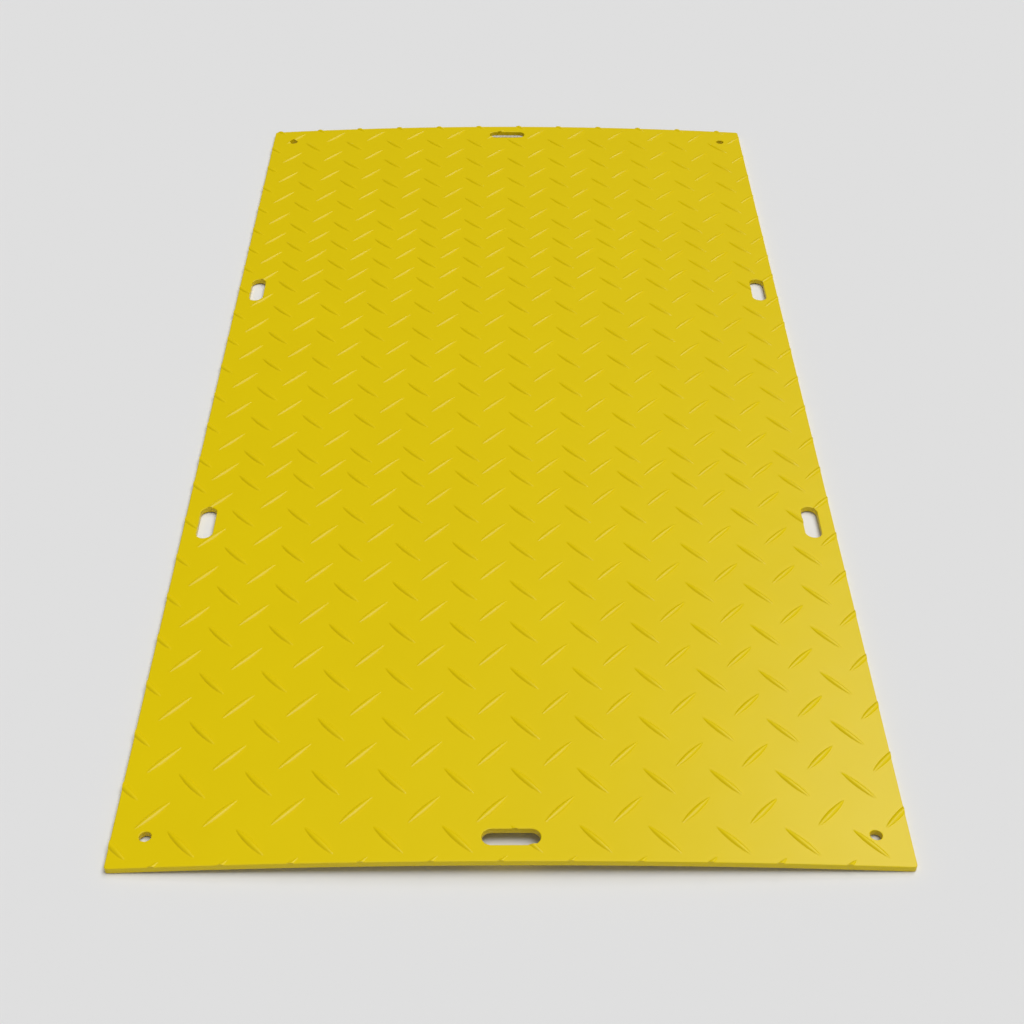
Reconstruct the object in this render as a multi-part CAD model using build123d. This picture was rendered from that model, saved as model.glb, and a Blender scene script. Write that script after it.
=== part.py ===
from build123d import *
from itertools import accumulate, pairwise
from math import asin, atan2, cos, degrees, radians, sin
import os

# Ground protection mat: one sheet of plastic with a raised tread, hand slots and corner holes.
# Millimetres. X runs across the mat, Y along it, Z up. The origin is on the floor under its middle.

# Sheet
WIDTH = 1220.0
LENGTH = 2440.0
THICKNESS = 11.0
CROWN = 17.0            # how far the middle of the sheet stands above its long edges
CORNER_RADIUS = 6.0
EDGE_BREAK = 1.0        # chamfer along the top of the outline and the slots

# Hand slots
SLOT_LENGTH = 90.0
SLOT_WIDTH = 31.0
END_SLOT_INSET = 46.5   # slot centre to the short edge
SIDE_SLOT_INSET = 42.0  # slot centre to the long edge
SIDE_SLOT_PITCH = 832.0
SIDE_SLOT_SHIFT = 9.0   # how far the side slots sit towards the far end

# Corner holes
HOLE_DIAMETER = 19.0
HOLE_INSET_X = 53.0
HOLE_INSET_Y = 60.0

# Tread: pointed lugs that lean right and left in turn
LUG_LENGTH = 73.0
LUG_WIDTH = 13.0
LUG_HEIGHT = 3.0
LUG_RIDGE = 30.0        # straight top of a lug
LUG_WAIST = 26.0        # stretch over which a lug keeps its full width
LUG_LEAN = 48.0         # degrees from the line across the mat
LUG_ROOT = 1.5          # how deep a lug is bedded in the sheet
LUG_SETBACK = 1.5       # a lug that meets an edge, slot or hole stops this far short of it
COLUMN_PITCH = 104.7    # between lugs of one lean, across the mat
FIRST_COLUMN = 5.0      # first left-leaning lugs, from the left edge
FIRST_ROW = -15.7       # first row, from the near edge

# Rows of lugs from the near end, as how many steps and how long each is. The embossing roll
# crowds its rows at two places, and its steps shorten a little along the mat.
ROW_RUNS = ((3, 58.4), (6, 56.4), (8, 53.9), (2, 40.0), (2, 57.2), (10, 53.0), (6, 44.4), (10, 52.9))

# The arch: the top follows this radius about a centre line below the mat. It is made of flat
# strips, one under each column of lugs, so that every lug stands on flat ground.
TOP_RADIUS = (WIDTH**2 / 4 + CROWN**2) / (2 * CROWN) + THICKNESS
ARC_CENTRE = CROWN + THICKNESS - TOP_RADIUS
STRIP = COLUMN_PITCH / 2


def strip_edges():
    """Places across the mat where two strips meet, running a strip past both long edges."""
    first = FIRST_COLUMN - WIDTH / 2 - 1.5 * STRIP
    count = int(WIDTH // STRIP) + 4
    return [first + number * STRIP for number in range(count)]


def on_arch(x, depth=0.0):
    """A point of the section: x on the top, and how deep below it, square to the surface."""
    angle = asin(x / TOP_RADIUS)
    radius = TOP_RADIUS - depth
    return (radius * sin(angle), ARC_CENTRE + radius * cos(angle))


def on_upper_rim(edge):
    """Whether an edge of a wall runs along the top of the sheet."""
    middle = edge.center()
    return abs(edge.tangent_at().Z) < 0.5 and middle.Z > on_arch(middle.X, THICKNESS / 2)[1]


def trimming_block(setback=0.0):
    """All that lies this far inside the outline, the six hand slots and the four corner holes."""
    end_y = LENGTH / 2 - END_SLOT_INSET
    side_x = WIDTH / 2 - SIDE_SLOT_INSET
    slot = (SLOT_LENGTH + 2 * setback, SLOT_WIDTH + 2 * setback)
    with BuildSketch(Plane.XY.offset(-THICKNESS)) as plan:
        RectangleRounded(WIDTH - 2 * setback, LENGTH - 2 * setback, CORNER_RADIUS - setback)
        with Locations((0, end_y), (0, -end_y)):
            SlotOverall(*slot, mode=Mode.SUBTRACT)
        with Locations((0, SIDE_SLOT_SHIFT)):
            with GridLocations(2 * side_x, SIDE_SLOT_PITCH, 2, 2):
                SlotOverall(*slot, rotation=90, mode=Mode.SUBTRACT)
        with GridLocations(WIDTH - 2 * HOLE_INSET_X, LENGTH - 2 * HOLE_INSET_Y, 2, 2):
            Circle(HOLE_DIAMETER / 2 + setback, mode=Mode.SUBTRACT)
    return extrude(plan.sketch, CROWN + 3 * THICKNESS + LUG_HEIGHT)


def sheet(inside):
    """The arched sheet cut to its outline, with its sharp upper rims taken off."""
    top = [on_arch(x) for x in strip_edges()]
    under = [on_arch(x, THICKNESS) for x in reversed(strip_edges())]
    with BuildPart() as slab:
        with BuildSketch(Plane.XZ):
            Polygon(*top, *under, align=None)
        extrude(amount=LENGTH / 2 + STRIP, both=True)
        add(inside, mode=Mode.INTERSECT)
        walls = slab.faces().filter_by(lambda face: abs(face.normal_at().Z) < 0.01)
        round_holes = walls.filter_by(lambda face: face.radius == HOLE_DIAMETER / 2)
        rims = (walls - round_holes).edges().filter_by(on_upper_rim)
        chamfer(rims, EDGE_BREAK)
    return slab.part


def lug():
    """One lug along X: pointed ends, flat flanks and a straight ridge, bedded to its root."""
    grow = (LUG_HEIGHT + LUG_ROOT) / LUG_HEIGHT
    tip = LUG_RIDGE / 2 + (LUG_LENGTH - LUG_RIDGE) / 2 * grow
    side = LUG_WIDTH / 2 * grow
    base = [(-tip, 0), (-LUG_WAIST / 2, side), (LUG_WAIST / 2, side),
            (tip, 0), (LUG_WAIST / 2, -side), (-LUG_WAIST / 2, -side)]
    foot = [(x, y, -LUG_ROOT) for x, y in base]
    ridge = [(-LUG_RIDGE / 2, 0, LUG_HEIGHT), (LUG_RIDGE / 2, 0, LUG_HEIGHT)]
    return ConvexPolyhedron(foot + ridge)


def lug_places():
    """Where each lug sits: on the middle of its strip, leaning right and left row by row."""
    steps = [step for count, step in ROW_RUNS for _ in range(count)]
    rows = list(accumulate(steps, initial=FIRST_ROW))
    reach = WIDTH / 2 + LUG_LENGTH / 2 * cos(radians(LUG_LEAN))
    for number, (left, right) in enumerate(pairwise(strip_edges())):
        if abs(left + right) / 2 > reach:
            continue
        (x0, z0), (x1, z1) = on_arch(left), on_arch(right)
        slope = degrees(atan2(z0 - z1, x1 - x0))
        leans_right = number % 2 == 0
        for row in rows[0 if leans_right else 1::2]:
            seat = Location(((x0 + x1) / 2, row - LENGTH / 2, (z0 + z1) / 2), (0, slope, 0))
            yield seat * Location((0, 0, 0), (0, 0, LUG_LEAN if leans_right else -LUG_LEAN))


def mat():
    """The whole mat: the sheet and every lug of its tread, as one piece of plastic."""
    clear = trimming_block(LUG_SETBACK)
    one = lug()
    lugs = [(seat * one) & clear for seat in lug_places()]
    return sheet(trimming_block()) + lugs


if __name__ == "__main__":
    os.makedirs("parts", exist_ok=True)
    export_step(mat(), "parts/mat.step")
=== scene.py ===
# %% [markdown]
# Ground protection mat, dressed for its photograph. The mat is one pressed sheet of yellow
# plastic, about 1.2 by 2.4 m, with a raised tread, six hand slots and four corner holes. The
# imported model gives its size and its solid; this file gives the visible skin, its finish, the
# light and the camera. Everything is in metres, with the mat's floor at zero height.

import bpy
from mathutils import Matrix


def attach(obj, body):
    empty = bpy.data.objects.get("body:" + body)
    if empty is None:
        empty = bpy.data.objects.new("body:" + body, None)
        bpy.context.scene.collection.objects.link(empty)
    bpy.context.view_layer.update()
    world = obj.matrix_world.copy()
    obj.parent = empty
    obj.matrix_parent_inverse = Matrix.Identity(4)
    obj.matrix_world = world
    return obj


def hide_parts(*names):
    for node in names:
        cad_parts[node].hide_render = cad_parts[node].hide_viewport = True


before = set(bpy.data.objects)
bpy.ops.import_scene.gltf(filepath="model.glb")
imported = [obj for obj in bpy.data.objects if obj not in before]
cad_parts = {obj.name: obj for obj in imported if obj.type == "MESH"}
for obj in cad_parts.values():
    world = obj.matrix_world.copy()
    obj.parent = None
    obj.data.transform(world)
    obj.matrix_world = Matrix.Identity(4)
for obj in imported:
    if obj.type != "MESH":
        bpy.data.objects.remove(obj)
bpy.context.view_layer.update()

from itertools import accumulate
from math import cos, pi, radians, sin, sqrt

import bmesh
import bpy
from mathutils import Matrix, Vector

# %% [markdown]
# Two small helpers serve the whole file. Colours are written as the hex values that a screen
# shows, but a shader wants linear light, so one function turns them. Node trees are long when
# each link is a line of its own, so one function adds a node with its settings and its links.

# %% Helpers
MM = 0.001


def linear(hex_colour):
    """A screen colour such as E5CC00 as linear red, green, blue and alpha."""
    parts = [int(hex_colour[at:at + 2], 16) / 255 for at in (0, 2, 4)]
    return [p / 12.92 if p <= 0.04045 else ((p + 0.055) / 1.055) ** 2.4 for p in parts] + [1.0]


def add(tree, kind, inputs=None, **settings):
    """Adds a node. Inputs go by name or number, each to a value, a socket or another node."""
    made = tree.nodes.new(kind)
    for name, value in settings.items():
        setattr(made, name, value)
    for key, value in (inputs or {}).items():
        if isinstance(value, bpy.types.Node):
            value = value.outputs[0]
        if isinstance(value, bpy.types.NodeSocket):
            tree.links.new(value, made.inputs[key])
        else:
            made.inputs[key].default_value = value
    return made


def plain_mesh(piece, name):
    """What a piece looks like with its modifiers done, as a new mesh."""
    bpy.context.view_layer.update()
    done = piece.evaluated_get(bpy.context.evaluated_depsgraph_get())
    mesh = bpy.data.meshes.new_from_object(done)
    mesh.name = name
    return mesh


def place(name, mesh):
    """Puts a mesh in the scene as an object at the origin."""
    piece = bpy.data.objects.new(name, mesh)
    bpy.context.scene.collection.objects.link(piece)
    return piece


# %% [markdown]
# The camera stands where the photographer stood: in front of the near short edge, a little left
# of the middle, looking down at 39 degrees. Its place, turn and focal length were worked out from
# where the corners, slots and holes of a 1220 by 2440 mm sheet fall in the photograph. An empty
# target would do the same job, but three angles and a distance are easier to read and to change.

# %% Camera
STANDS_AT = Vector((-0.01257, -2.8003, 1.9790))
LOOKS_DOWN, LOOKS_RIGHT, LEANS = 0.6814, 0.0074, -0.0037
FOCAL_MM = 57.97

forward = Vector((sin(LOOKS_RIGHT) * cos(LOOKS_DOWN), cos(LOOKS_RIGHT) * cos(LOOKS_DOWN),
                  -sin(LOOKS_DOWN)))
level = Vector((cos(LOOKS_RIGHT), -sin(LOOKS_RIGHT), 0.0))
right = Matrix.Rotation(LEANS, 3, forward) @ level
up = right.cross(forward)
camera = bpy.data.objects.new("camera", bpy.data.cameras.new("camera"))
camera.data.lens, camera.data.sensor_width = FOCAL_MM, 36.0
camera.matrix_world = Matrix.Translation(STANDS_AT) @ Matrix(
    (right, up, -forward)).transposed().to_4x4()
bpy.context.scene.collection.objects.link(camera)
bpy.context.scene.camera = camera
print("camera at", [round(c, 3) for c in camera.matrix_world.translation])

# %% [markdown]
# The sheet is 11 mm thick and arches by 17 mm across its width, so only its long edges touch the
# floor. It could be a box with holes cut in it, but a flat filled curve is simpler: its outline,
# slots and holes are splines, and the curve's own bevel rounds both rims as a router would. The
# flat blank is then sliced lengthwise and each point is lifted onto the arch.

# %% Sizes of the sheet
WIDTH, LENGTH, THICKNESS, CROWN = 1220 * MM, 2440 * MM, 11 * MM, 17 * MM
CORNER_RADIUS, RIM_RADIUS = 6 * MM, 1.2 * MM
SLOT_LENGTH, SLOT_WIDTH = 90 * MM, 31 * MM
END_SLOT_INSET, SIDE_SLOT_INSET = 46.5 * MM, 42 * MM
SIDE_SLOT_PITCH, SIDE_SLOT_SHIFT = 832 * MM, 9 * MM
HOLE_RADIUS, HOLE_INSET_X, HOLE_INSET_Y = 9.5 * MM, 53 * MM, 60 * MM
TOP_RADIUS = (WIDTH ** 2 / 4 + CROWN ** 2) / (2 * CROWN) + THICKNESS
ARC_CENTRE = CROWN + THICKNESS - TOP_RADIUS
print("arch radius, m:", round(TOP_RADIUS, 3))


# %% Outline, slots and holes as rounded loops
def rounded_loop(centre, size, radius, steps):
    """Points round a rectangle with rounded corners, anticlockwise."""
    points = []
    half_x, half_y = size[0] / 2 - radius, size[1] / 2 - radius
    for corner, (sx, sy) in enumerate(((1, 1), (-1, 1), (-1, -1), (1, -1))):
        for step in range(steps + 1):
            angle = (corner + step / steps) * pi / 2
            points.append((centre[0] + sx * half_x + radius * cos(angle),
                           centre[1] + sy * half_y + radius * sin(angle)))
    return points


def plan_loops():
    """The outline first, then the slots and the holes."""
    loops = [rounded_loop((0, 0), (WIDTH, LENGTH), CORNER_RADIUS, 6)]
    for side in (-1, 1):
        end_y = side * (LENGTH / 2 - END_SLOT_INSET)
        loops.append(rounded_loop((0, end_y), (SLOT_LENGTH, SLOT_WIDTH),
                                  SLOT_WIDTH / 2 - 0.01 * MM, 10))
        for along in (-1, 1):
            centre = (side * (WIDTH / 2 - SIDE_SLOT_INSET),
                      along * SIDE_SLOT_PITCH / 2 + SIDE_SLOT_SHIFT)
            loops.append(rounded_loop(centre, (SLOT_WIDTH, SLOT_LENGTH),
                                      SLOT_WIDTH / 2 - 0.01 * MM, 10))
            centre = (side * (WIDTH / 2 - HOLE_INSET_X), along * (LENGTH / 2 - HOLE_INSET_Y))
            loops.append(rounded_loop(centre, (2 * HOLE_RADIUS,) * 2, HOLE_RADIUS - 0.01 * MM, 7))
    return loops


# %% Flat blank from a filled curve
def blank(name, low, high, rim):
    """A closed flat plate between two heights, with its rims rounded."""
    curve = bpy.data.curves.new(name, "CURVE")
    curve.dimensions, curve.fill_mode = "2D", "BOTH"
    curve.extrude = (high - low) / 2 - rim
    curve.bevel_depth, curve.offset, curve.bevel_resolution = rim, -rim, 2
    for loop in plan_loops():
        spline = curve.splines.new("POLY")
        spline.points.add(len(loop) - 1)
        spline.points.foreach_set("co", [c for x, y in loop for c in (x, y, 0.0, 1.0)])
        spline.use_cyclic_u = True
    drawn = place(name, curve)
    mesh = plain_mesh(drawn, name)
    bpy.data.objects.remove(drawn)
    mesh.transform(Matrix.Translation((0, 0, (high + low) / 2)))
    return mesh


def tidy(mesh):
    """Merges the doubled rims of a mesh and turns its faces outward."""
    shape = bmesh.new()
    shape.from_mesh(mesh)
    bmesh.ops.remove_doubles(shape, verts=shape.verts, dist=0.002 * MM)
    bmesh.ops.recalc_face_normals(shape, faces=shape.faces)
    open_edges = sum(not edge.is_manifold for edge in shape.edges)
    shape.to_mesh(mesh)
    shape.free()
    return open_edges


SHEET = blank("sheet", 0.0, THICKNESS, RIM_RADIUS)
print("flat sheet:", len(SHEET.vertices), "points, open edges", tidy(SHEET))


# %% Slice the blank and lift it onto the arch
SLICE = 13 * MM


def arch_height(x, depth):
    """Height of the sheet at x, this deep below its top."""
    return ARC_CENTRE + sqrt((TOP_RADIUS - depth) ** 2 - x ** 2)


def bend(mesh):
    """Cuts a flat plate into lengthwise slices and lifts every point onto the arch."""
    shape = bmesh.new()
    shape.from_mesh(mesh)
    cuts = int(WIDTH / 2 / SLICE)
    for number in range(-cuts, cuts + 1):
        bmesh.ops.bisect_plane(shape, geom=shape.verts[:] + shape.edges[:] + shape.faces[:],
                               dist=0.0001 * MM, plane_co=(number * SLICE, 0, 0),
                               plane_no=(1, 0, 0))
    for point in shape.verts:
        point.co.z = arch_height(point.co.x, THICKNESS - point.co.z)
    shape.to_mesh(mesh)
    shape.free()


bend(SHEET)
print("arched sheet:", len(SHEET.vertices), "points, open edges", tidy(SHEET))

# %% [markdown]
# The tread is some six hundred pointed lugs, pressed by an embossing roll, that lean right and
# left in turn. Copying one lug by hand would take long and could not be changed afterwards, so a
# Geometry Nodes tree shapes one lug from a small grid and sets it on a cloud of seats. Each seat
# carries which way its lug leans and how full it was pressed, and the tree turns the lug square
# to the arch. The lug keeps to 56 faces, because it is repeated so often.

# %% Sizes of the tread
COLUMN_PITCH, FIRST_COLUMN, FIRST_ROW = 104.7 * MM, 5 * MM, -15.7 * MM
ROW_RUNS = ((3, 58.4), (6, 56.4), (8, 53.9), (2, 40.0), (2, 57.2), (10, 53.0), (6, 44.4), (10, 52.9))
LUG_LENGTH, LUG_WIDTH, LUG_HEIGHT, LUG_ROOT = 73 * MM, 13 * MM, 2.9 * MM, 1.2 * MM
LUG_LEAN = radians(48)


# %% Seats of the lugs
def lug_seats():
    """Each lug's place on the plan and which way it leans, row by row as the roll laid them."""
    steps = [step * MM for count, step in ROW_RUNS for _ in range(count)]
    rows = list(accumulate(steps, initial=FIRST_ROW - LENGTH / 2))
    for column in range(-1, int(2 * WIDTH / COLUMN_PITCH) + 2):
        x = FIRST_COLUMN - WIDTH / 2 + column * COLUMN_PITCH / 2
        leans_right = column % 2
        for y in rows[0 if leans_right else 1::2]:
            if abs(x) < WIDTH / 2 + LUG_LENGTH / 2 * cos(LUG_LEAN):
                yield x, y, 1.0 if leans_right else -1.0


SEATS = bpy.data.meshes.new("tread_seats")
seats = list(lug_seats())
SEATS.from_pydata([(x, y, 0.0) for x, y, _ in seats], [], [])
leans = SEATS.attributes.new("lean", "FLOAT", "POINT")
leans.data.foreach_set("value", [lean * LUG_LEAN for _, _, lean in seats])
print("lugs:", len(seats))

# %% The tree that shapes and sets the lugs
tree = bpy.data.node_groups.new("tread", "GeometryNodeTree")
face = tree.interface
face.new_socket("Seats", in_out="INPUT", socket_type="NodeSocketGeometry")
SOCKETS = {name: face.new_socket(name, in_out="INPUT", socket_type="NodeSocket" + kind)
           for name, kind in (("Lug length", "Float"), ("Lug width", "Float"),
                              ("Lug height", "Float"), ("Lug root", "Float"),
                              ("Arch radius", "Float"), ("Arch centre", "Float"),
                              ("Tip fullness", "Float"), ("Crown roundness", "Float"),
                              ("Ridge flatness", "Float"), ("Press variation", "Float"),
                              ("Seed", "Int"), ("Finish", "Material"))}
face.new_socket("Tread", in_out="OUTPUT", socket_type="NodeSocketGeometry")
given = add(tree, "NodeGroupInput").outputs

# %% One lug: a grid pinched to a lens and raised to a crown
grid = add(tree, "GeometryNodeMeshGrid", {0: 2.0, 1: 2.0, 2: 9, 3: 7})
under = add(tree, "GeometryNodeMeshGrid", {0: 2.0, 1: 2.0, 2: 9, 3: 2})
spot = add(tree, "ShaderNodeSeparateXYZ", {0: add(tree, "GeometryNodeInputPosition")}).outputs
along = add(tree, "ShaderNodeMath", {0: spot[0]}, operation="ABSOLUTE")
across = add(tree, "ShaderNodeMath", {0: spot[1]}, operation="ABSOLUTE")
falls = []
for distance, power in ((along, "Tip fullness"), (along, "Ridge flatness"),
                        (across, "Crown roundness")):
    raised = add(tree, "ShaderNodeMath", {0: distance, 1: given[power]}, operation="POWER")
    falls.append(add(tree, "ShaderNodeMath", {0: 1.0, 1: raised}, operation="SUBTRACT"))
pinch, ridge, crown = falls
half_length = add(tree, "ShaderNodeMath", {0: given["Lug length"], 1: 0.5}, operation="MULTIPLY")
half_width = add(tree, "ShaderNodeMath", {0: given["Lug width"], 1: 0.5}, operation="MULTIPLY")
lug_x = add(tree, "ShaderNodeMath", {0: spot[0], 1: half_length}, operation="MULTIPLY")
narrow = add(tree, "ShaderNodeMath", {0: half_width, 1: pinch}, operation="MULTIPLY")
lug_y = add(tree, "ShaderNodeMath", {0: spot[1], 1: narrow}, operation="MULTIPLY")
full = add(tree, "ShaderNodeMath", {0: given["Lug height"], 1: given["Lug root"]},
           operation="ADD")
swell = add(tree, "ShaderNodeMath", {0: ridge, 1: crown}, operation="MULTIPLY")
rise = add(tree, "ShaderNodeMath", {0: full, 1: swell}, operation="MULTIPLY")
lug_z = add(tree, "ShaderNodeMath", {0: rise, 1: given["Lug root"]}, operation="SUBTRACT")
foot = add(tree, "ShaderNodeMath", {0: 0.0, 1: given["Lug root"]}, operation="SUBTRACT")
crowned = add(tree, "GeometryNodeSetPosition", {0: grid, 2: add(
    tree, "ShaderNodeCombineXYZ", {0: lug_x, 1: lug_y, 2: lug_z})})
flat = add(tree, "GeometryNodeSetPosition", {0: under, 2: add(
    tree, "ShaderNodeCombineXYZ", {0: lug_x, 1: lug_y, 2: foot})})
both = add(tree, "GeometryNodeJoinGeometry")
tree.links.new(crowned.outputs[0], both.inputs[0])
tree.links.new(add(tree, "GeometryNodeFlipFaces", {0: flat}).outputs[0], both.inputs[0])
lug = add(tree, "GeometryNodeMergeByDistance", {0: both, 2: 0.01 * MM})

# %% Every lug: seated on the arch, leaning its way, pressed a little more or less
seat = add(tree, "ShaderNodeSeparateXYZ", {0: add(tree, "GeometryNodeInputPosition")}).outputs
seat_x2 = add(tree, "ShaderNodeMath", {0: seat[0], 1: seat[0]}, operation="MULTIPLY")
radius2 = add(tree, "ShaderNodeMath", {0: given["Arch radius"], 1: given["Arch radius"]},
              operation="MULTIPLY")
drop = add(tree, "ShaderNodeMath", {0: radius2, 1: seat_x2}, operation="SUBTRACT")
reach = add(tree, "ShaderNodeMath", {0: drop}, operation="SQRT")
seat_z = add(tree, "ShaderNodeMath", {0: reach, 1: given["Arch centre"]}, operation="ADD")
on_arch = add(tree, "GeometryNodeSetPosition", {0: given["Seats"], 2: add(
    tree, "ShaderNodeCombineXYZ", {0: seat[0], 1: seat[1], 2: seat_z})})
ratio = add(tree, "ShaderNodeMath", {0: seat[0], 1: given["Arch radius"]}, operation="DIVIDE")
slope = add(tree, "ShaderNodeMath", {0: ratio}, operation="ARCSINE")
lean = add(tree, "GeometryNodeInputNamedAttribute", {0: "lean"}, data_type="FLOAT")
turned = add(tree, "FunctionNodeRotateRotation", {
    0: add(tree, "FunctionNodeEulerToRotation", {0: add(
        tree, "ShaderNodeCombineXYZ", {2: lean})}),
    1: add(tree, "FunctionNodeEulerToRotation", {0: add(
        tree, "ShaderNodeCombineXYZ", {1: slope})})}, rotation_space="GLOBAL")
least = add(tree, "ShaderNodeMath", {0: 1.0, 1: given["Press variation"]}, operation="SUBTRACT")
pressed = add(tree, "FunctionNodeRandomValue", {2: least, 3: 1.0, 8: given["Seed"]},
              data_type="FLOAT")
lugs = add(tree, "GeometryNodeInstanceOnPoints", {0: on_arch, 2: lug, 5: turned, 6: add(
    tree, "ShaderNodeCombineXYZ", {0: 1.0, 1: 1.0, 2: pressed.outputs[1]})})
real = add(tree, "GeometryNodeRealizeInstances", {0: lugs})
dressed = add(tree, "GeometryNodeSetMaterial", {0: real, 2: given["Finish"]})
add(tree, "NodeGroupOutput", {0: dressed})
print("tread tree:", len(tree.nodes), "nodes")

# %% [markdown]
# The mat is pressed from high-density polyethylene, a waxy plastic with a low, soft gloss. To the
# eye that means a deep yellow with a dull broad highlight, not a mirror. A flat colour would look
# like paper, so the finish has three small things on top: a faint cloudiness from recycled
# stock, an orange-peel grain from the press plate, and a gentle waviness in the surface.

# %% Moulded polyethylene
hdpe = bpy.data.materials.new("moulded_hdpe")
hdpe.use_nodes = True
skin = hdpe.node_tree
skin.nodes.clear()
where = add(skin, "ShaderNodeTexCoord").outputs["Object"]
clouds = add(skin, "ShaderNodeTexNoise", {0: where, "Scale": 1 / (180 * MM), "Detail": 3.0})
stock = add(skin, "ShaderNodeMix", {0: clouds, 6: linear("E3C800"), 7: linear("E7CD00")},
            data_type="RGBA")
grain = add(skin, "ShaderNodeTexNoise", {0: where, "Scale": 1 / (2.4 * MM), "Detail": 1.0})
waves = add(skin, "ShaderNodeTexNoise", {0: where, "Scale": 1 / (60 * MM), "Detail": 1.0})
wavy = add(skin, "ShaderNodeBump", {0: 1.0, 1: 0.35 * MM, 3: waves})
peel = add(skin, "ShaderNodeBump", {0: 0.25, 1: 0.05 * MM, 3: grain, 4: wavy})
shader = add(skin, "ShaderNodeBsdfPrincipled", {
    "Base Color": stock.outputs[2], "Roughness": 0.33, "Specular IOR Level": 0.28,
    "Normal": peel})
add(skin, "ShaderNodeOutputMaterial", {0: shader})
print("hdpe:", len(skin.nodes), "nodes")

# %% Run the tree
tread = place("tread", SEATS)
modifier = tread.modifiers.new("tread", "NODES")
modifier.node_group = tree
for name, value in (("Lug length", 84 * MM), ("Lug width", 13.6 * MM), ("Lug height", LUG_HEIGHT),
                    ("Lug root", LUG_ROOT), ("Arch radius", TOP_RADIUS),
                    ("Arch centre", ARC_CENTRE), ("Tip fullness", 2.2),
                    ("Crown roundness", 2.2), ("Ridge flatness", 2.4), ("Press variation", 0.08),
                    ("Seed", 4), ("Finish", hdpe)):
    modifier[SOCKETS[name].identifier] = value
TREAD = plain_mesh(tread, "tread")
tread.modifiers.clear()
tread.data = TREAD
print("tread:", len(TREAD.polygons), "faces, open edges", tidy(TREAD))

# %% [markdown]
# Lugs that meet the outline, a slot or a hole were cut with it, so the tread is trimmed by a
# taller copy of the blank. Then sheet and tread are fused, as they are one piece of plastic.
# Laying one over the other would look the same here, but would leave loose shells inside.

# %% Trim the tread and fuse it to the sheet
trim = place("trim", blank("trim", -20 * MM, 60 * MM, 0.0))
print("trimming block, open edges", tidy(trim.data))
cut = tread.modifiers.new("cut", "BOOLEAN")
cut.operation, cut.solver, cut.object = "INTERSECT", "MANIFOLD", trim
tread.data = plain_mesh(tread, "tread_trimmed")
tread.modifiers.clear()
mat = place("mat_skin", SHEET)
SHEET.materials.append(hdpe)
join = mat.modifiers.new("join", "BOOLEAN")
join.operation, join.solver, join.object = "UNION", "MANIFOLD", tread
mat.data = plain_mesh(mat, "mat_skin")
mat.modifiers.clear()
for spare in (tread, trim):
    bpy.data.objects.remove(spare)



def on_sheet(polygon):
    """Whether a face lies on the arched top or underside, and not on a lug, rim or wall."""
    lie = Vector((polygon.center.x / TOP_RADIUS, 0.0, 1.0)).normalized()
    return abs(polygon.normal.dot(lie)) > cos(radians(0.5))


mat.data.shade_smooth()
mat.data.set_sharp_from_angle(angle=radians(40))
for polygon in mat.data.polygons:
    polygon.use_smooth = not on_sheet(polygon)
print("mat skin:", len(mat.data.polygons), "faces")
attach(mat, "root")
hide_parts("mat")

# %% [markdown]
# The photograph was taken on a plain pale floor under one large soft light, high at the far
# right, with pale surroundings filling the shadows. A sun lamp with a wide angle gives the same
# soft shadow over a floor of even brightness; an area lamp would fall off across it. The world
# is the fill, and camera rays see it as pale as the floor.

# %% Floor
floor_mesh = bpy.data.meshes.new("floor")
FLOOR_HALF, FLOOR_DROP = 30.0, 0.1 * MM
floor_mesh.from_pydata([(-FLOOR_HALF, -FLOOR_HALF, -FLOOR_DROP),
                        (FLOOR_HALF, -FLOOR_HALF, -FLOOR_DROP),
                        (FLOOR_HALF, FLOOR_HALF, -FLOOR_DROP),
                        (-FLOOR_HALF, FLOOR_HALF, -FLOOR_DROP)], [], [(0, 1, 2, 3)])
floor = place("floor", floor_mesh)
paint = bpy.data.materials.new("painted_floor")
paint.use_nodes = True
paint.node_tree.nodes.clear()
matt = add(paint.node_tree, "ShaderNodeBsdfDiffuse", {0: linear("E7E7E7")})
add(paint.node_tree, "ShaderNodeOutputMaterial", {0: matt})
floor_mesh.materials.append(paint)

# %% Lights
def soft_sun(name, towards, energy, across):
    """A sun lamp that shines from this direction and is this many degrees across."""
    lamp = bpy.data.objects.new(name, bpy.data.lights.new(name, "SUN"))
    lamp.data.energy, lamp.data.angle = energy, radians(across)
    lamp.rotation_euler = Vector(towards).to_track_quat("Z", "Y").to_euler()
    bpy.context.scene.collection.objects.link(lamp)


soft_sun("overhead", (0.28, 0.06, 0.96), 2.2, 50)
soft_sun("far_window", (0.33, 0.60, 0.73), 0.36, 13)
world = bpy.data.worlds.new("pale_room")
world.use_nodes = True
world.node_tree.nodes.clear()
room = world.node_tree
seen = add(room, "ShaderNodeLightPath").outputs["Is Camera Ray"]
way = add(room, "ShaderNodeSeparateXYZ", {0: add(
    room, "ShaderNodeTexCoord").outputs["Generated"]}).outputs["Y"]
walls = add(room, "ShaderNodeMapRange", {
    "Value": way, "From Min": -0.6, "From Max": 0.4, "To Min": 0.32, "To Max": 0.05},
    interpolation_type="SMOOTHSTEP")
fill = add(room, "ShaderNodeBackground", {0: linear("FFFFFF"), 1: walls})
pale = add(room, "ShaderNodeBackground", {0: linear("E3E3E3"), 1: 1.0})
mixed = add(room, "ShaderNodeMixShader", {0: seen, 1: fill, 2: pale})
add(room, "ShaderNodeOutputWorld", {0: mixed})
bpy.context.scene.world = world
bpy.context.scene.view_settings.view_transform = "Standard"
